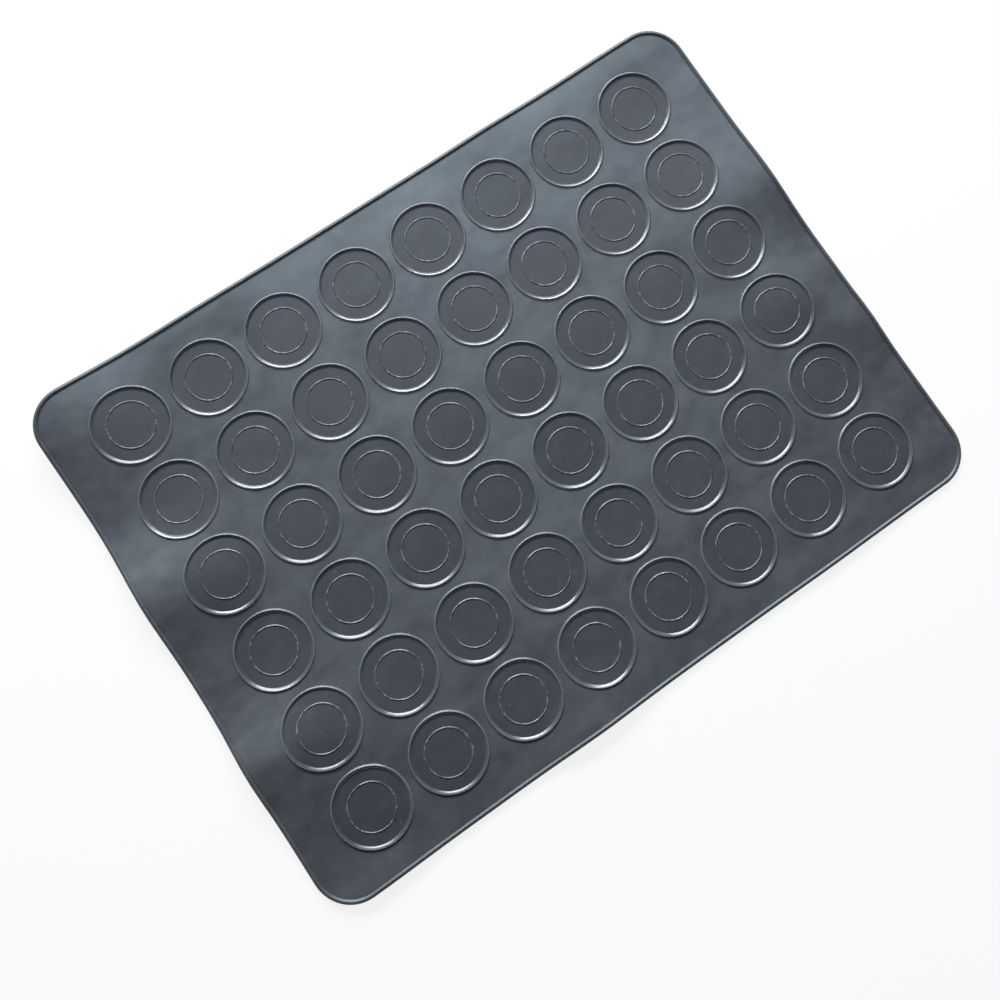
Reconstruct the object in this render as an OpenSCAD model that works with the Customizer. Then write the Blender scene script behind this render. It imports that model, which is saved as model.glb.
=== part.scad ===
// Flexible baking mat with a grid of shallow round cavities for small round biscuits.
// It lies flat on its underside: X along the long side, Y along the short side, Z up,
// and the origin is under the middle of the mat.

/* [Cavity grid] */
// Cavities along the long side
cols = 8; // [2:1:8]
// Cavities along the short side
rows = 6; // [2:1:6]
// Flat width left between neighbouring ring ridges
ridge_gap = 3.4; // [1:0.1:12]
// Border from the last ridge to the end of the mat
end_border = 20.6; // [4:0.1:50]
// Border from the last ridge to the side of the mat
side_border = 14; // [4:0.1:50]

/* [Sheet] */
// Thickness of the sheet between the cavities
sheet_t = 1.2; // [0.8:0.05:3]
// Depth of a cavity's floor below the sheet around it
floor_sink = 0.2; // [0.1:0.05:0.5]

/* [Rim bead] */
// Radius of the mat's corners
corner_r = 20; // [8:0.5:40]
// Width of the bead round the edge
bead_w = 2.6; // [2:0.1:3.4]
// Height of the bead above the sheet
bead_h = 0.8; // [0.7:0.05:1.4]
// Rounding of the bead's crest
bead_crest_r = 0.5; // [0.2:0.05:0.6]

/* [Ring ridge] */
// Radius of a ridge's crest, which is the size of biscuit it holds
ridge_r = 19; // [14.5:0.1:19.5]
// Width of a ridge's outer flank, from its crest down to the sheet
ridge_out_w = 1; // [0.8:0.05:1.6]
// Width of a ridge's inner flank, from its crest down to the cavity's floor
ridge_in_w = 1.5; // [0.8:0.05:1.9]
// Height of a ridge above the sheet
ridge_h = 0.7; // [0.6:0.05:1.6]
// Rounding of a ridge's crest
ridge_crest_r = 0.4; // [0.15:0.05:0.5]

/* [Guide ring] */
// Radius of a guide ring's crest, which marks how much batter to pipe
guide_r = 11.65; // [5:0.05:12.6]
// Width of a guide ring at its foot
guide_w = 0.9; // [0.6:0.05:1.2]
// Height of a guide ring above the cavity's floor
guide_h = 0.3; // [0.25:0.05:0.6]
// Rounding of a guide ring's crest
guide_crest_r = 0.2; // [0.05:0.05:0.24]

/* [Hidden] */

ridge_outer_r = ridge_r + ridge_out_w;
pitch = 2 * ridge_outer_r + ridge_gap;
mat_l = (cols - 1) * pitch + 2 * (ridge_outer_r + end_border);
mat_w = (rows - 1) * pitch + 2 * (ridge_outer_r + side_border);
floor_z = sheet_t - floor_sink;
seat_w = ridge_in_w / 2; // the sunk floor's wall stands under the middle of the inner flank
floor_r = ridge_r - seat_w;

sheet_colour = [0.33, 0.37, 0.40];
ridge_colour = [0.38, 0.42, 0.45];
guide_colour = [0.44, 0.47, 0.50];

CREST_STEPS = 10; // straight facets in the rounding of a crest
$fn = 96;

function ridge_name(row, col) = str("ring_ridge_", row, "_", col);
function guide_name(row) = str("guide_rings_row_", row);

// Place of a cavity's centre: row 1 is at the back (+Y), column 1 at the left (-X)
function cavity_x(col) = (col - (cols + 1) / 2) * pitch;
function cavity_y(row) = ((rows + 1) / 2 - row) * pitch;

// Angle of a straight flank that runs from its foot up to a round crest of radius r
function flank_angle(run, rise, r) = atan2(rise, run) + asin(r / norm([run, rise]));

// Outline of a low moulded ridge over a crest at x = 0. The inner flank, w_in wide, ends
// sunk below the outer foot, which is at height 0; h is the height and r the crest's rounding.
function crest_section(w_in, w_out, sunk, h, r) =
    let (
        centre = h - r,
        start = 90 + flank_angle(w_in, centre + sunk, r),
        end = 90 - flank_angle(w_out, centre, r)
    )
    concat(
        [[-w_in, -sunk]],
        [for (i = [0:CREST_STEPS])
            let (a = start + (end - start) * i / CREST_STEPS)
            [r * cos(a), centre + r * sin(a)]],
        [[w_out, 0]]
    );

// Rectangle with round corners, centred on the origin
module round_rect(l, w, r) {
    square([l - 2 * r, w], center = true);
    square([l, w - 2 * r], center = true);
    for (x = [-1, 1]) for (y = [-1, 1])
        translate([x * (l / 2 - r), y * (w / 2 - r)]) circle(r = r);
}

// Section of the rim bead, from its outer face at x = 0 inwards along +X
module bead_section() {
    square([bead_w, sheet_t]);
    translate([bead_w / 2, sheet_t])
        polygon(crest_section(bead_w / 2, bead_w / 2, 0, bead_h, bead_crest_r));
}

// One straight stretch of the bead along X, with its outer face towards -Y
module bead_straight(len) {
    rotate([90, 0, 90])
        translate([0, 0, -len / 2])
            linear_extrude(len) bead_section();
}

// One corner of the bead, round the origin, in the quarter of +X and +Y
module bead_corner() {
    rotate_extrude(angle = 90)
        translate([corner_r, 0])
            mirror([1, 0]) bead_section();
}

// The flat sheet, with a shallow round floor sunk at each cavity
module mat_sheet() {
    color(sheet_colour)
        difference() {
            linear_extrude(sheet_t)
                round_rect(mat_l - 2 * bead_w, mat_w - 2 * bead_w, corner_r - bead_w);
            for (row = [1:rows]) for (col = [1:cols])
                translate([cavity_x(col), cavity_y(row), floor_z])
                    cylinder(r = floor_r, h = sheet_t);
        }
}

// The raised bead that goes round the whole edge
module rim_bead() {
    color(ridge_colour) {
        for (side = [0, 180]) rotate(side) {
            translate([0, -mat_w / 2]) bead_straight(mat_l - 2 * corner_r);
            rotate(90) translate([0, -mat_l / 2]) bead_straight(mat_w - 2 * corner_r);
            translate([mat_l / 2 - corner_r, mat_w / 2 - corner_r]) bead_corner();
            translate([corner_r - mat_l / 2, mat_w / 2 - corner_r])
                rotate(90) bead_corner();
        }
    }
}

// The raised ring round one cavity. It sits on the sheet, and its inner flank runs on down
// into the sunk floor, where a step under it fits the floor's wall.
module ring_ridge(row, col) {
    step = [[0, 0], [-seat_w, 0], [-seat_w, -floor_sink]];
    color(ridge_colour)
        translate([cavity_x(col), cavity_y(row), sheet_t])
            rotate_extrude()
                translate([ridge_r, 0])
                    polygon(concat(
                        crest_section(ridge_in_w, ridge_out_w, floor_sink, ridge_h,
                                      ridge_crest_r),
                        step
                    ));
}

// The fine guide rings on the floors of one row of cavities
module guide_rings(row) {
    flank = guide_w / 2;
    color(guide_colour)
        for (col = [1:cols])
            translate([cavity_x(col), cavity_y(row), floor_z])
                rotate_extrude()
                    translate([guide_r, 0])
                        polygon(crest_section(flank, flank, 0, guide_h, guide_crest_r));
}

mat_sheet();
rim_bead();
for (row = [1:rows]) for (col = [1:cols])
    ring_ridge(row, col);
for (row = [1:rows])
    guide_rings(row);
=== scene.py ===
import math

import bmesh
import bpy
import numpy as np
from mathutils import Matrix, Vector


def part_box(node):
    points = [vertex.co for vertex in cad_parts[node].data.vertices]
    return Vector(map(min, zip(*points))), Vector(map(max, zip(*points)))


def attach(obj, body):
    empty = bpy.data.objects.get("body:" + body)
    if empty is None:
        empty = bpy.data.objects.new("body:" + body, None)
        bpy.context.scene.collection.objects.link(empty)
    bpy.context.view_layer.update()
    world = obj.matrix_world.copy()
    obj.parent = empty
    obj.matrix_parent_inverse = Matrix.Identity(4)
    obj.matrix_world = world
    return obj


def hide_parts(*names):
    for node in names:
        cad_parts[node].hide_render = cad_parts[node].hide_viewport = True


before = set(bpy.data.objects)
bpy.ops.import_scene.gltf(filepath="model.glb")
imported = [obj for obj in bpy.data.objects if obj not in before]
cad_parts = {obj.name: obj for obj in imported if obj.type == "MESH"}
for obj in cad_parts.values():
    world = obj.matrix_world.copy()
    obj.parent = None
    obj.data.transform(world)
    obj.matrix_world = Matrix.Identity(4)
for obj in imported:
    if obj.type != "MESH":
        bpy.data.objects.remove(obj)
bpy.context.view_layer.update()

MM = 0.001
SAME_PLACE = MM * 1e-3    # points closer than this are one point

# Sizes of the mat, taken from the frame
_, sheet_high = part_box("mat_sheet")
_, bead_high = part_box("rim_bead")
ridge_low, ridge_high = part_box("ring_ridge_1_1")
next_low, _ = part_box("ring_ridge_1_2")
guide_low, guide_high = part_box("guide_rings_row_1")

ROWS = 6
COLUMNS = 8
HALF_LENGTH = bead_high.x
HALF_WIDTH = bead_high.y
SHEET_TOP = sheet_high.z
FLOOR_TOP = ridge_low.z
PITCH = next_low.x - ridge_low.x
BEAD_WIDTH = bead_high.x - sheet_high.x
BEAD_TOP = bead_high.z
RIDGE_TOP = ridge_high.z
RIDGE_OUTER = (ridge_high.x - ridge_low.x) / 2
GUIDE_OUTER = (guide_high.x - guide_low.x - (COLUMNS - 1) * PITCH) / 2
GUIDE_TOP = guide_high.z

# Sizes of the moulding that the frame's boxes don't give
CORNER_RADIUS = 20 * MM
RIDGE_OUT_WIDTH = 0.9 * MM   # from a ridge's crest to the outer foot of its solid
RIDGE_OUT_FLANK = 0.7 * MM   # and to the outer foot that shows, as the flank is steeper
RIDGE_IN_WIDTH = 1.5 * MM
RIDGE_ROUNDING = 0.4 * MM
GUIDE_WIDTH = 0.9 * MM
GUIDE_ROUNDING = 0.18 * MM
BEAD_ROUNDING = 0.5 * MM
BEAD_FOOT = 0.3 * MM         # from the joint with the sheet to the foot of the bead
BEAD_BOTTOM_ROUND = 0.35 * MM
ARC_MIDDLE = 0.3             # how far a quarter arc's middle is from both tangents, in radii
FOOT_ROUND = 0.15 * MM       # soft corner at a moulded foot
SUNK = 0.04 * MM             # how deep a foot is let into what it stands on
SWELL = 0.07                 # how far the inner flank bulges, as a share of its height
SWELL_AT = 0.42              # where along its width it bulges most
PEAK_OVER = 0.27             # height of the flanks' sharp peak over the crest, in roundings

RIDGE_CREST = RIDGE_OUTER - RIDGE_OUT_WIDTH
GUIDE_CREST = GUIDE_OUTER - GUIDE_WIDTH / 2

# How finely the round shapes are drawn
CIRCLE_STEPS = 64
RING_STEPS = 96
GUIDE_STEPS = 72
CORNER_STEPS = 14
ROUNDING_STEPS = 5
STRAIGHT_STEP = 9 * MM
SMOOTH_BELOW = math.radians(50)   # faces that meet at less than this are shaded as one

# Where the soft mat doesn't lie quite flat: place of each rise on the mat, its height,
# and how far it reaches along X and along Y
LEFT, RIGHT, BACK, FRONT = -HALF_LENGTH, HALF_LENGTH, HALF_WIDTH, -HALF_WIDTH
RISES = [
    (LEFT + 4 * MM, BACK - 3 * MM, 9.8 * MM, 44 * MM, 46 * MM),
    (LEFT, 29 * MM, 6.6 * MM, 46 * MM, 26 * MM),
    (LEFT, -64 * MM, 5.4 * MM, 44 * MM, 20 * MM),
    (RIGHT, 42 * MM, 3.9 * MM, 42 * MM, 26 * MM),
    (RIGHT, 92 * MM, 1.6 * MM, 36 * MM, 30 * MM),
    (RIGHT, -50 * MM, 2.0 * MM, 22 * MM, 14 * MM),
    (166 * MM, -20 * MM, 2.6 * MM, 26 * MM, 22 * MM),
    (165 * MM, BACK, 3.4 * MM, 40 * MM, 30 * MM),
    (80 * MM, BACK, 1.8 * MM, 24 * MM, 26 * MM),
    (-100 * MM, BACK, 1.8 * MM, 34 * MM, 24 * MM),
    (-168 * MM, FRONT, 1.8 * MM, 26 * MM, 12 * MM),
    (-156 * MM, -94 * MM, 1.9 * MM, 56 * MM, 40 * MM),
    (-41 * MM, FRONT, 3.2 * MM, 26 * MM, 20 * MM),
    (100 * MM, FRONT, 1.1 * MM, 28 * MM, 18 * MM),
]


def lift(x, y):
    """Height that the mat stands above the table at x, y."""
    height = np.zeros_like(x)
    for at_x, at_y, rise, reach_x, reach_y in RISES:
        height += rise * np.exp(-((x - at_x) / reach_x) ** 2 - ((y - at_y) / reach_y) ** 2)
    return height


# Tools of the bench

def object_mode():
    if bpy.context.mode != "OBJECT":
        bpy.ops.object.mode_set(mode="OBJECT")


def start_clear():
    """Leaves nothing selected, so that an operator acts only on what comes next."""
    object_mode()
    bpy.ops.object.select_all(action="DESELECT")


def pick_up(piece):
    """Selects one object alone, and makes it the active one."""
    start_clear()
    piece.select_set(True)
    bpy.context.view_layer.objects.active = piece


def begin_edit(name):
    """Names the primitive that was just added, and opens it for editing."""
    piece = bpy.context.active_object
    piece.name = name
    piece.data.name = name
    bpy.ops.object.mode_set(mode="EDIT")
    return piece


def select_rim(piece):
    """Selects the edges of the open mesh that only one face uses."""
    bpy.ops.mesh.select_all(action="DESELECT")
    bpy.ops.mesh.select_mode(type="EDGE")
    mesh = bmesh.from_edit_mesh(piece.data)
    for edge in mesh.edges:
        if len(edge.link_faces) == 1:
            edge.select_set(True)
    bmesh.update_edit_mesh(piece.data)


def move_selected(piece, new_place):
    """Moves each selected point of the open mesh to new_place(x, y), at its own height."""
    mesh = bmesh.from_edit_mesh(piece.data)
    for vertex in mesh.verts:
        if vertex.select:
            vertex.co.x, vertex.co.y = new_place(vertex.co.x, vertex.co.y)
    bmesh.update_edit_mesh(piece.data)


def draw_section(name, points):
    """A closed outline in the XZ plane, drawn point by point, left selected in edit mode."""
    start_clear()
    bpy.ops.mesh.primitive_plane_add(size=MM)
    piece = begin_edit(name)
    bpy.ops.mesh.select_mode(type="VERT")
    bpy.ops.mesh.select_all(action="SELECT")
    bpy.ops.mesh.merge(type="CENTER")
    bpy.ops.transform.translate(value=points[0])
    for here, there in zip(points, points[1:]):
        bpy.ops.mesh.extrude_vertices_move(TRANSFORM_OT_translate={"value": there - here})
    ends = (Vector(points[0]), Vector(points[-1]))
    mesh = bmesh.from_edit_mesh(piece.data)
    for vertex in mesh.verts:
        vertex.select_set(min((vertex.co - end).length for end in ends) < SAME_PLACE)
    mesh.select_flush(True)
    bmesh.update_edit_mesh(piece.data)
    bpy.ops.mesh.edge_face_add()
    bpy.ops.mesh.select_all(action="SELECT")
    return piece


def close_up(piece):
    """Merges doubled points, turns the faces outwards and leaves edit mode."""
    bpy.ops.mesh.select_all(action="SELECT")
    bpy.ops.mesh.remove_doubles(threshold=SAME_PLACE)
    bpy.ops.mesh.normals_make_consistent(inside=False)
    pick_up(piece)
    bpy.ops.object.shade_smooth_by_angle(angle=SMOOTH_BELOW)


def copy_of(piece, name, shift):
    """A copy with its own mesh, moved by shift."""
    twin = piece.copy()
    twin.data = piece.data.copy()
    twin.name = name
    twin.data.name = name
    bpy.context.scene.collection.objects.link(twin)
    pick_up(twin)
    bpy.ops.object.mode_set(mode="EDIT")
    bpy.ops.mesh.select_all(action="SELECT")
    bpy.ops.transform.translate(value=shift)
    object_mode()
    return twin


def repeat(piece, count, step):
    """Repeats the piece in a row with an array modifier, and joins it up."""
    array = piece.modifiers.new("row", "ARRAY")
    array.count = count
    array.use_relative_offset = False
    array.use_constant_offset = True
    array.constant_offset_displace = step
    array.use_merge_vertices = True
    array.merge_threshold = 10 * SAME_PLACE
    bpy.ops.object.modifier_apply(modifier=array.name)


def lay_down(piece):
    """Lets a finished piece follow the soft mat's rises."""
    points = np.empty(len(piece.data.vertices) * 3, np.float32)
    piece.data.vertices.foreach_get("co", points)
    points = points.reshape(-1, 3)
    points[:, 2] += lift(points[:, 0], points[:, 1])
    piece.data.vertices.foreach_set("co", points.ravel())
    piece.data.update()


def round_off(corners, radii):
    """The path through corners in the XZ plane, with each inner corner rounded by its radius."""
    path = [corners[0]]
    for before, corner, after, radius in zip(corners, corners[1:], corners[2:], radii):
        back = (before - corner).normalized()
        on = (after - corner).normalized()
        half = back.angle(on) / 2
        centre = corner + (back + on).normalized() * (radius / math.sin(half))
        start = corner + back * (radius / math.tan(half)) - centre
        end = corner + on * (radius / math.tan(half)) - centre
        for step in range(ROUNDING_STEPS + 1):
            spoke = start.slerp(end, step / ROUNDING_STEPS)
            path.append(centre + spoke * radius / spoke.length)
    return path + [corners[-1]]


def ridge_section(crest, inner_foot, outer_foot, inner_base, outer_base, top, rounding):
    """Section of a low ridge: a soft foot, straight flank and round crest, let in a little."""
    peak = top + rounding * PEAK_OVER
    swell_x = inner_foot + (crest - inner_foot) * SWELL_AT
    swell_z = inner_base + (peak - inner_base) * (SWELL_AT + SWELL)
    corners = [
        Vector((inner_foot - FOOT_ROUND, 0, inner_base - SUNK)),
        Vector((inner_foot, 0, inner_base)),
        Vector((swell_x, 0, swell_z)),
        Vector((crest, 0, peak)),
        Vector((outer_foot, 0, outer_base)),
        Vector((outer_foot + FOOT_ROUND, 0, outer_base - SUNK)),
    ]
    return round_off(corners, (FOOT_ROUND, rounding, rounding, FOOT_ROUND))


# The silicone sheet

CELL_CENTRE_RADIUS = 3.5 * MM
LOOPS = [  # radius and height of each loop of a cavity's floor and of its surround
    (7 * MM, FLOOR_TOP),
    (10.5 * MM, FLOOR_TOP),
    (14 * MM, FLOOR_TOP),
    (RIDGE_CREST - RIDGE_IN_WIDTH - FOOT_ROUND, FLOOR_TOP),
    (RIDGE_CREST - RIDGE_IN_WIDTH / 2, FLOOR_TOP),
    (RIDGE_CREST - RIDGE_IN_WIDTH / 3, SHEET_TOP),
    (RIDGE_OUTER + FOOT_ROUND, SHEET_TOP),
]
SQUARING = (0.35, 0.7, 1.0)       # shares of the way from the round loop to the cell's square
BORDER_SHARES = (0.3, 0.65, 1.0)  # shares of the way from the grid's edge to the sheet's


def grow_loop(factor, rise):
    """Extrudes the selected loop, scales it about the cell's middle and lifts it."""
    bpy.ops.mesh.extrude_region_move(TRANSFORM_OT_translate={"value": (0, 0, rise)})
    bpy.ops.transform.resize(value=(factor, factor, 1), center_override=(0, 0, 0))


def towards_square(x, y, start, share):
    """The place of a loop's point, that share of the way from radius start to the square."""
    way = Vector((x, y)).normalized()
    to_square = PITCH / 2 / max(abs(way.x), abs(way.y))
    return way * (start + (to_square - start) * share)


def make_cell():
    """One cavity floor with the square of sheet round it."""
    start_clear()
    bpy.ops.mesh.primitive_circle_add(vertices=CIRCLE_STEPS, radius=CELL_CENTRE_RADIUS,
                                      fill_type="TRIFAN", location=(0, 0, FLOOR_TOP))
    bpy.ops.object.transform_apply(location=True)
    piece = begin_edit("silicone_sheet")
    select_rim(piece)
    radius, height = CELL_CENTRE_RADIUS, FLOOR_TOP
    for next_radius, next_height in LOOPS:
        grow_loop(next_radius / radius, next_height - height)
        radius, height = next_radius, next_height
    for share in SQUARING:
        bpy.ops.mesh.extrude_region_move()
        move_selected(piece, lambda x, y: towards_square(x, y, radius, share))
    object_mode()
    return piece


def on_outline(x, y, half_x, half_y, radius):
    """A point of a rectangle's edge, moved onto the same rectangle with round corners."""
    if abs(x) <= half_x - radius or abs(y) <= half_y - radius:
        return Vector((x, y))
    centre = Vector((math.copysign(half_x - radius, x), math.copysign(half_y - radius, y)))
    return centre + (Vector((x, y)) - centre).normalized() * radius


def make_sheet():
    """All cells in a grid, the border round them with its round corners, and the underside."""
    piece = make_cell()
    repeat(piece, COLUMNS, (PITCH, 0, 0))
    repeat(piece, ROWS, (0, PITCH, 0))
    grid_x, grid_y = COLUMNS * PITCH / 2, ROWS * PITCH / 2
    edge_x, edge_y = sheet_high.x, sheet_high.y
    corner = CORNER_RADIUS - BEAD_WIDTH

    bpy.ops.object.mode_set(mode="EDIT")
    bpy.ops.mesh.select_all(action="SELECT")
    bpy.ops.transform.translate(value=(PITCH / 2 - grid_x, PITCH / 2 - grid_y, 0))
    select_rim(piece)
    before_x, before_y = grid_x, grid_y
    for share in BORDER_SHARES:
        now_x = grid_x + (edge_x - grid_x) * share
        now_y = grid_y + (edge_y - grid_y) * share
        bpy.ops.mesh.extrude_region_move()
        move_selected(piece, lambda x, y: on_outline(x * now_x / before_x, y * now_y / before_y,
                                                     now_x, now_y, corner * share))
        before_x, before_y = now_x, now_y

    # the underside is a flat copy of the top, bridged to it all round
    bpy.ops.mesh.select_all(action="SELECT")
    bpy.ops.mesh.duplicate()
    bpy.ops.transform.resize(value=(1, 1, 0), center_override=(0, 0, 0))
    select_rim(piece)
    bpy.ops.mesh.bridge_edge_loops()
    close_up(piece)
    return piece


# The rim bead

def make_bead():
    """The bead's section, run round the mat from the middle of its right-hand end."""
    crest = HALF_LENGTH - BEAD_WIDTH / 2
    ridge = ridge_section(crest, sheet_high.x + BEAD_FOOT, HALF_LENGTH - FOOT_ROUND, SHEET_TOP,
                          SHEET_TOP, BEAD_TOP, BEAD_ROUNDING)
    turn = BEAD_BOTTOM_ROUND
    under = [
        Vector((HALF_LENGTH, 0, SHEET_TOP / 2)),
        Vector((HALF_LENGTH, 0, turn)),
        Vector((HALF_LENGTH - turn * ARC_MIDDLE, 0, turn * ARC_MIDDLE)),
        Vector((HALF_LENGTH - turn, 0, 0)),
        Vector((sheet_high.x, 0, 0)),
        Vector((sheet_high.x, 0, SHEET_TOP / 2)),
    ]
    piece = draw_section("raised_rim", ridge + under)

    corner_x, corner_y = HALF_LENGTH - CORNER_RADIUS, HALF_WIDTH - CORNER_RADIUS
    corners = [(corner_x, corner_y), (-corner_x, corner_y), (-corner_x, -corner_y),
               (corner_x, -corner_y)]
    legs = [
        (Vector((0, 1, 0)), corner_y),
        (Vector((-1, 0, 0)), 2 * corner_x),
        (Vector((0, -1, 0)), 2 * corner_y),
        (Vector((1, 0, 0)), 2 * corner_x),
        (Vector((0, 1, 0)), corner_y),
    ]
    for number, (way, length) in enumerate(legs):
        count = round(length / STRAIGHT_STEP)
        for _ in range(count):
            bpy.ops.mesh.extrude_region_move(
                TRANSFORM_OT_translate={"value": way * (length / count)})
        if number < len(corners):
            # spin turns clockwise for a positive angle
            bpy.ops.mesh.spin(steps=CORNER_STEPS, angle=-math.pi / 2,
                              center=(*corners[number], 0), axis=(0, 0, 1))
    close_up(piece)
    return piece


# The raised rings and the guide rings

def spin_ring(name, section, steps):
    """A ring about the origin, turned from its section."""
    piece = draw_section(name, section)
    bpy.ops.mesh.spin(steps=steps, angle=2 * math.pi, center=(0, 0, 0), axis=(0, 0, 1))
    close_up(piece)
    return piece


def cavity_place(row, column):
    """Middle of a cavity: row 1 is at the back, column 1 at the left."""
    return Vector(((column - (COLUMNS + 1) / 2) * PITCH, ((ROWS + 1) / 2 - row) * PITCH, 0))


def make_ridges():
    """The ring round each cavity, by row and column."""
    section = ridge_section(RIDGE_CREST, RIDGE_CREST - RIDGE_IN_WIDTH,
                            RIDGE_CREST + RIDGE_OUT_FLANK, FLOOR_TOP, SHEET_TOP, RIDGE_TOP,
                            RIDGE_ROUNDING)
    first = spin_ring("cavity_ring", section, RING_STEPS)
    rings = {}
    for row in range(1, ROWS + 1):
        for column in range(1, COLUMNS + 1):
            rings[row, column] = copy_of(first, f"cavity_ring_{row}_{column}",
                                         cavity_place(row, column))
    bpy.data.objects.remove(first)
    return rings


def make_guides():
    """The guide rings of each row, joined into one piece."""
    section = ridge_section(GUIDE_CREST, GUIDE_CREST - GUIDE_WIDTH / 2,
                            GUIDE_CREST + GUIDE_WIDTH / 2, FLOOR_TOP, FLOOR_TOP, GUIDE_TOP,
                            GUIDE_ROUNDING)
    first = spin_ring("guide_ring", section, GUIDE_STEPS)
    rows = {}
    for row in range(1, ROWS + 1):
        copies = [copy_of(first, f"guide_rings_{row}", cavity_place(row, column))
                  for column in range(1, COLUMNS + 1)]
        pick_up(copies[0])
        for ring in copies[1:]:
            ring.select_set(True)
        bpy.ops.object.join()
        rows[row] = copies[0]
    bpy.data.objects.remove(first)
    return rows


# Finishes

class Wire:
    """A shader socket that takes part in Python arithmetic by adding Math nodes."""

    def __init__(self, tree, socket):
        self.tree = tree
        self.socket = socket

    def node(self, kind, inputs=None, output=0, **settings):
        """Adds a node: its settings first, then values or wires for its inputs."""
        made = self.tree.nodes.new(kind)
        for key, value in settings.items():
            setattr(made, key, value)
        for key, value in (inputs or {}).items():
            if isinstance(value, Wire):
                self.tree.links.new(value.socket, made.inputs[key])
            else:
                made.inputs[key].default_value = value
        return Wire(self.tree, made.outputs[output])

    def maths(self, operation, *values):
        """A Math node on the values given, or on this wire alone."""
        return self.node("ShaderNodeMath", dict(enumerate(values or (self,))),
                         operation=operation)

    def __add__(self, other):
        return self.maths("ADD", self, other)

    def __radd__(self, other):
        return self.maths("ADD", other, self)

    def __sub__(self, other):
        return self.maths("SUBTRACT", self, other)

    def __rsub__(self, other):
        return self.maths("SUBTRACT", other, self)

    def __mul__(self, other):
        return self.maths("MULTIPLY", self, other)

    def __rmul__(self, other):
        return self.maths("MULTIPLY", other, self)

    def __truediv__(self, other):
        return self.maths("DIVIDE", self, other)

    def step_up(self, low, high):
        """0 below low, 1 above high, and a smooth run between."""
        return self.node("ShaderNodeMapRange", {"Value": self, "From Min": low,
                                                "From Max": high},
                         interpolation_type="SMOOTHSTEP")


SILICONE = (0.080, 0.089, 0.101, 1)
SILICONE_DEEP = (0.055, 0.061, 0.070, 1)
CAVITY_TONE = (0.022, 0.021, 0.027, 1)
CAVITY_FILM = (0.031, 0.030, 0.038, 1)
PALE_DUST_AND_HIGHLIGHT = (0.23, 0.25, 0.27, 1)          # pale tone of dust, and of the painted highlight on the ridge crests and the painted glints on the guide rings
SHEEN = (0.82, 0.93, 1.0, 1)
CLEAR_SHEEN = (0.94, 0.96, 1.0, 1)

# The skin's unevenness, from large to small: the size of its lumps, and how much of the
# relief, in millimetres, and of the roughness each kind makes
SWELL_SIZE = 38 * MM
SWELL_RELIEF = 0.48
SMEAR_SIZE = 16 * MM
SMEAR_RELIEF = 0.13
SMEAR_ROUGHNESS = 0.3
SMEAR_TONE = 0.7                       # share of the smears in the pattern of the colour
SMEAR_SHAPE = (0.55, 1, 1)             # the smears are long and lie aslant
SMEAR_TURN = (0, 0, 0.5)
PATCH_SIZE = 7 * MM
PATCH_RELIEF = 0.03
PATCH_ROUGHNESS = 0.12
PATCH_TONE = 0.3                       # and that of the patches
# size of the pale dashes painted on the guide rings as their glints
GLINT_DASH_SIZE = 2.2 * MM
GRAIN_SIZE = 0.6 * MM

# Between which two values of its pattern each tone comes up
TONE_RANGE = (0.3, 0.72)
FILM_RANGE = (0.4, 0.7)
# the range in which the guide rings' painted glints come up
GLINT_DASH_RANGE = (0.48, 0.6)

DUST_SPACING = 9 * MM
DUST_RADIUS = 0.25 * MM
DUST_SPARSE = 0.72                     # share of its places that stay clean
DUST_FADE = 0.3                        # how far above that a speck has its full strength
DUST_EDGE = (0.5, 1.5)                 # soft edge of a speck, in radii
DUST_COVER = 0.7
DUST_RELIEF = 0.02

# The well used middle of the mat, where the skin is duller: its half axes and its middle,
# and the range in which it fades, as shares of the half axes
HAZE_X, HAZE_Y = 160 * MM, 72 * MM
HAZE_MIDDLE_Y = -18 * MM
HAZE_RANGE = (0.2, 1.2)

CAVITY_ROUGHNESS = 0.3                 # how much rougher the cavities' floors are
CAVITY_EDGE = (-0.2 * MM, 0.4 * MM)    # where a floor's finish ends, from its ridge's foot
CREST_HIGHLIGHT_EDGE = (0.15 * MM, 0.5 * MM)     # where the painted highlight along a crest ends, from its middle
GRAZING_RANGE = (0.55, 0.94)           # 0 is skin seen face on, and 1 is seen edge on
GRAZING_ROUGHNESS = 0.5


def noise(place, size, detail=2, roughness=0.5):
    """Cloudy noise whose lumps are about size metres across."""
    return place.node("ShaderNodeTexNoise", {"Vector": place, "Scale": 1 / size,
                                             "Detail": detail, "Roughness": roughness})


def specks(place):
    """Tiny round specks of dust, one to a cell, and none in most of the cells."""
    cells = {"Vector": place, "Scale": 1 / DUST_SPACING}
    kind = {"voronoi_dimensions": "2D", "feature": "F1"}
    away = place.node("ShaderNodeTexVoronoi", cells, **kind)
    pick = place.node("ShaderNodeTexVoronoi", cells, output=1, **kind)
    chance = pick.node("ShaderNodeSeparateColor", {0: pick})
    size = DUST_RADIUS / DUST_SPACING
    spot = 1 - away.step_up(size * DUST_EDGE[0], size * DUST_EDGE[1])
    return spot * chance.step_up(DUST_SPARSE, DUST_SPARSE + DUST_FADE)


def mixed(share, first, second):
    """Colour that goes from first to second as share goes from 0 to 1."""
    return share.node("ShaderNodeMix", {0: share, 6: first, 7: second}, output=2,
                      data_type="RGBA")


def along_axis(place, axis):
    """One coordinate of a place: 0 for X, 1 for Y, 2 for Z."""
    return place.node("ShaderNodeSeparateXYZ", {0: place}, output=axis)


def distance_to_cavity(place):
    """Distance from the middle of the nearest cavity, in metres."""
    squares = []
    for axis in (0, 1):
        cells = along_axis(place, axis) / PITCH
        across = (cells.maths("FRACT") - 0.5) * PITCH
        squares.append(across * across)
    return (squares[0] + squares[1]).maths("SQRT")


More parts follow.
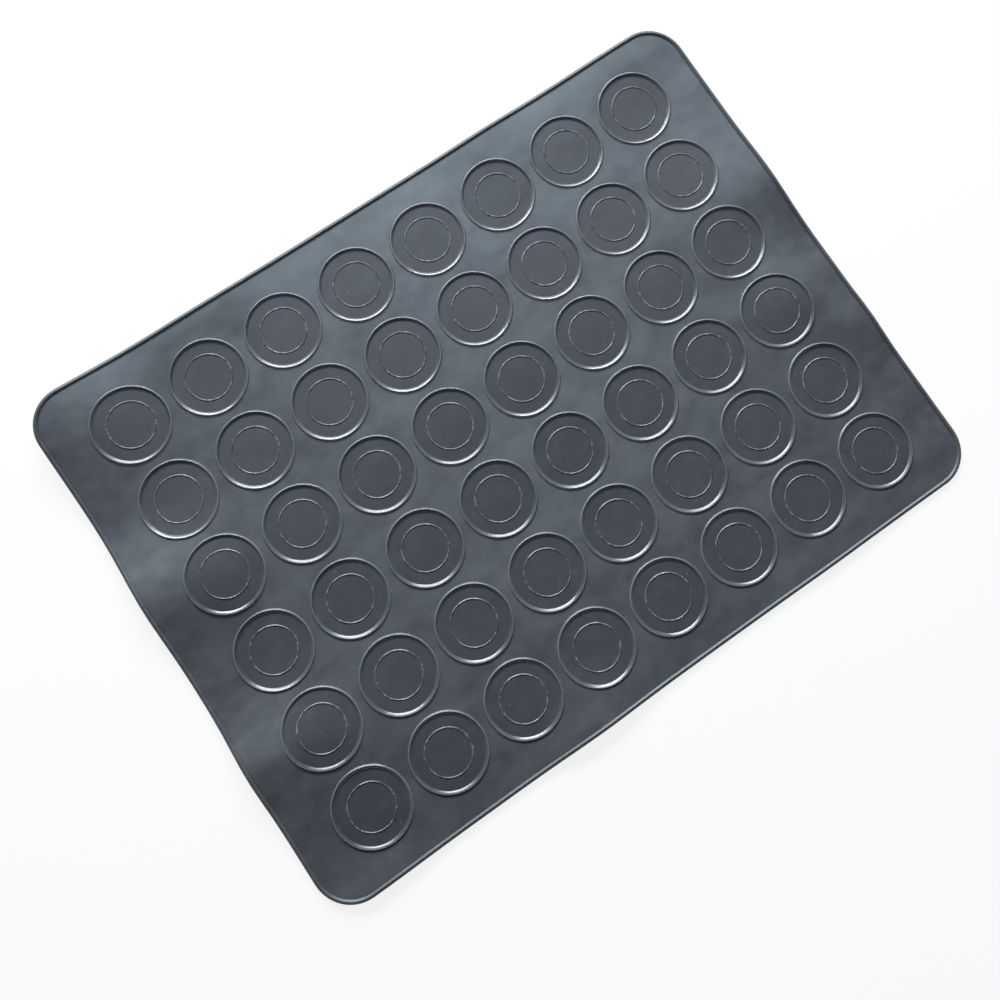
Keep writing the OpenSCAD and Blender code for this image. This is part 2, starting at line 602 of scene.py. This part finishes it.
def floor_share(place, radius):
    """1 on the floors of the cavities, and 0 on the silicone round them."""
    foot = RIDGE_CREST - RIDGE_IN_WIDTH
    share = 1 - radius.step_up(foot + CAVITY_EDGE[0], foot + CAVITY_EDGE[1])
    # the pattern of floors goes on for ever, and the cavities don't
    for axis, count in ((0, COLUMNS), (1, ROWS)):
        limit = count * PITCH / 2
        share = share * (1 - along_axis(place, axis).maths("ABSOLUTE").step_up(limit, limit + MM))
    return share


def crest_highlight_share(radius):
    """1 on the crest of a ridge, where a pale line is painted as its highlight, and 0 beside it.
    """
    return 1 - (radius - RIDGE_CREST).maths("ABSOLUTE").step_up(*CREST_HIGHLIGHT_EDGE)


def haze_share(place):
    """1 in the well used middle of the mat, and 0 towards its edges."""
    middle = place.node("ShaderNodeMapping", {"Vector": place,
                                              "Location": (0, -HAZE_MIDDLE_Y / HAZE_Y, 0),
                                              "Scale": (1 / HAZE_X, 1 / HAZE_Y, 0)})
    away = middle.node("ShaderNodeVectorMath", {0: middle}, output=1, operation="LENGTH")
    return 1 - away.step_up(*HAZE_RANGE)


def silicone(name, roughness, grain, refraction, sheen=SHEEN, floors=False, crest=0, haze=0,
             painted_glints=0):
    """Moulded silicone: soft satin skin, faint flow clouds, fine grain and dust, with a highlight
    painted pale along ridge crests and glints painted pale on guide rings.
    """
    material = bpy.data.materials.new(name)
    material.use_nodes = True
    tree = material.node_tree
    shader = tree.nodes["Principled BSDF"]
    place = Wire(tree, tree.nodes.new("ShaderNodeTexCoord").outputs["Object"])

    aslant = place.node("ShaderNodeMapping", {"Vector": place, "Scale": SMEAR_SHAPE,
                                              "Rotation": SMEAR_TURN})
    swells = noise(place, SWELL_SIZE)
    smears = noise(aslant, SMEAR_SIZE, detail=4, roughness=0.6)
    patches = noise(place, PATCH_SIZE, detail=3, roughness=0.6)
    skin = noise(place, GRAIN_SIZE, detail=2, roughness=0.6)
    dust = specks(place)

    tone = (smears * SMEAR_TONE + patches * PATCH_TONE).step_up(*TONE_RANGE)
    colour = mixed(tone, SILICONE_DEEP, SILICONE)
    rough = roughness + (smears - 0.5) * SMEAR_ROUGHNESS + (patches - 0.5) * PATCH_ROUGHNESS
    if haze:
        rough = rough + haze_share(place) * haze
    if floors:
        radius = distance_to_cavity(place)
        floor = floor_share(place, radius)
        film = mixed(patches.step_up(*FILM_RANGE), CAVITY_TONE, CAVITY_FILM)
        colour = mixed(floor, colour, film)
        rough = rough + floor * CAVITY_ROUGHNESS
        # a pale line painted along the ridge crests as their highlight
        if crest:
            colour = mixed(crest_highlight_share(radius) * crest, colour, PALE_DUST_AND_HIGHLIGHT)
    # the skin's fine grain breaks up the glare along it at a grazing angle
    edge_on = place.node("ShaderNodeLayerWeight", {"Blend": 0.5}, output=1)
    rough = rough + edge_on.step_up(*GRAZING_RANGE) * GRAZING_ROUGHNESS
    colour = mixed(dust * DUST_COVER, colour, PALE_DUST_AND_HIGHLIGHT)
    # pale broken dashes painted on the guide rings as their glints
    if painted_glints:
        glint_dashes = noise(place, GLINT_DASH_SIZE, detail=3, roughness=0.7).step_up(*GLINT_DASH_RANGE)
        colour = mixed(glint_dashes * painted_glints, colour, PALE_DUST_AND_HIGHLIGHT)

    relief = (swells * SWELL_RELIEF + smears * SMEAR_RELIEF + patches * PATCH_RELIEF
              + skin * grain + dust * DUST_RELIEF)
    bump = place.node("ShaderNodeBump", {"Height": relief, "Strength": 1.0, "Distance": MM})
    tree.links.new(colour.socket, shader.inputs["Base Color"])
    tree.links.new(rough.socket, shader.inputs["Roughness"])
    tree.links.new(bump.socket, shader.inputs["Normal"])
    shader.inputs["IOR"].default_value = refraction
    shader.inputs["Specular Tint"].default_value = sheen
    return material


def finish_piece(piece, material, slot_name, *nodes):
    """Lays a piece on the table, gives it its finish, and puts it in its nodes' place."""
    lay_down(piece)
    piece.data.materials.clear()
    piece.data.materials.append(material)
    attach(piece, "root")
    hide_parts(*nodes)


# The room

FLOOR_SIZE = 8
FLOOR_DROP = 0.02 * MM   # keeps the table clear of the mat's underside
FLOOR_COLOUR = (0.86, 0.86, 0.86, 1)
FLOOR_GLOW = 0.85        # share of the floor's white that doesn't depend on the lamps
WHITE = (1, 1, 1, 1)
ROOM_LIGHT = 0.05
HORIZON = (0.08, 0.28)   # the room is white below the first height and dim above the second
LAMPS = [                # name, place, aim, size, watts and colour
    ("window", (0.574, 1.828, 0.90), (0, 0, 0), (2.2, 0.42), 90, (0.99, 0.99, 1.0)),
    ("soft_box", (0.14, 0.44, 0.42), (0.02, 0.05, 0), (0.5, 0.2), 2.1, (0.76, 0.9, 1.0)),
]


def seen_directly(tree):
    """1 for rays from the camera and for mirrored or refracted ones, else 0."""
    path = tree.nodes.new("ShaderNodeLightPath")
    camera, glossy, through = (Wire(tree, path.outputs[ray]) for ray in (
        "Is Camera Ray", "Is Glossy Ray", "Is Transmission Ray"))
    direct = camera + glossy + through
    return direct.maths("MINIMUM", direct, 1)


def make_floor():
    start_clear()
    bpy.ops.mesh.primitive_plane_add(size=FLOOR_SIZE, location=(0, 0, -FLOOR_DROP))
    floor = bpy.context.active_object
    floor.name = "floor"
    material = bpy.data.materials.new("pale_floor")
    material.use_nodes = True
    tree = material.node_tree
    tree.nodes.remove(tree.nodes["Principled BSDF"])
    direct = seen_directly(tree)
    matt = direct.node("ShaderNodeBsdfDiffuse", {"Color": FLOOR_COLOUR})
    glow = direct.node("ShaderNodeEmission", {"Color": WHITE, "Strength": 1.0})
    shown = direct.node("ShaderNodeMixShader", {0: direct * FLOOR_GLOW, 1: matt, 2: glow})
    tree.links.new(shown.socket, tree.nodes["Material Output"].inputs["Surface"])
    floor.data.materials.append(material)


def area_lamp(name, at, aim, size, watts, colour):
    """A rectangular lamp that faces its aim."""
    light = bpy.data.lights.new(name, "AREA")
    light.shape = "RECTANGLE"
    light.size, light.size_y = size
    light.energy = watts
    light.color = colour
    lamp = bpy.data.objects.new(name, light)
    bpy.context.scene.collection.objects.link(lamp)
    lamp.location = at
    lamp.rotation_euler = (Vector(aim) - Vector(at)).to_track_quat("-Z", "Y").to_euler()


def make_room():
    world = bpy.context.scene.world or bpy.data.worlds.new("room")
    bpy.context.scene.world = world
    world.use_nodes = True
    tree = world.node_tree
    way = Wire(tree, tree.nodes.new("ShaderNodeTexCoord").outputs["Generated"])
    strength = 1 - along_axis(way, 2).step_up(*HORIZON) * (1 - ROOM_LIGHT)
    background = tree.nodes["Background"]
    background.inputs["Color"].default_value = WHITE
    tree.links.new(strength.socket, background.inputs["Strength"])
    for lamp in LAMPS:
        area_lamp(*lamp)


CAMERA_AT = Vector((-52.7, -17.56, 541.1)) * MM
CAMERA_AIM = Vector((18.69, 37.12, 1.0)) * MM
PICTURE_TURN = math.radians(33.84)      # of the picture's upward side from the mat's +Y
FOCAL_SHARE = 1.0784                    # focal length over the picture's width
SHIFT_UP = -0.143
SEES_FROM, SEES_TO = 0.01, 50           # what the camera sees, in metres from it


def make_camera():
    data = bpy.data.cameras.new("camera")
    camera = bpy.data.objects.new("camera", data)
    bpy.context.scene.collection.objects.link(camera)
    data.lens = FOCAL_SHARE * data.sensor_width
    data.shift_y = SHIFT_UP
    data.clip_start = SEES_FROM
    data.clip_end = SEES_TO
    forward = (CAMERA_AIM - CAMERA_AT).normalized()
    upward = Vector((math.sin(PICTURE_TURN), math.cos(PICTURE_TURN), 0))
    right = forward.cross(upward).normalized()
    turn = Matrix((right, right.cross(forward), -forward)).transposed().to_4x4()
    turn.translation = CAMERA_AT
    camera.matrix_world = turn
    bpy.context.scene.camera = camera


sheet = make_sheet()
bead = make_bead()
ridges = make_ridges()
guides = make_guides()

sheet_finish = silicone("satin_sheet", roughness=0.46, grain=0.008, refraction=1.88,
                        floors=True, haze=0.13)
bead_finish = silicone("satin_rim", roughness=0.42, grain=0.006, refraction=1.5)
# crest is the strength of the highlight painted pale along the ridges' crests
ridge_finish = silicone("smooth_ridge", roughness=0.29, grain=0.004, refraction=1.71,
                        sheen=CLEAR_SHEEN, floors=True, crest=0.42)
# the guide rings' pale dashes are painted glints
guide_finish = silicone("guide_painted_glints", roughness=0.32, grain=0.004, refraction=1.42, painted_glints=0.65)

finish_piece(sheet, sheet_finish, "sheet_silicone", "mat_sheet")
finish_piece(bead, bead_finish, "bead_silicone", "rim_bead")
for (row, column), ring in ridges.items():
    finish_piece(ring, ridge_finish, "ridge_silicone", f"ring_ridge_{row}_{column}")
for row, rings in guides.items():
    finish_piece(rings, guide_finish, "guide_silicone", f"guide_rings_row_{row}")

make_floor()
make_room()
make_camera()
bpy.context.scene.view_settings.view_transform = "Standard"
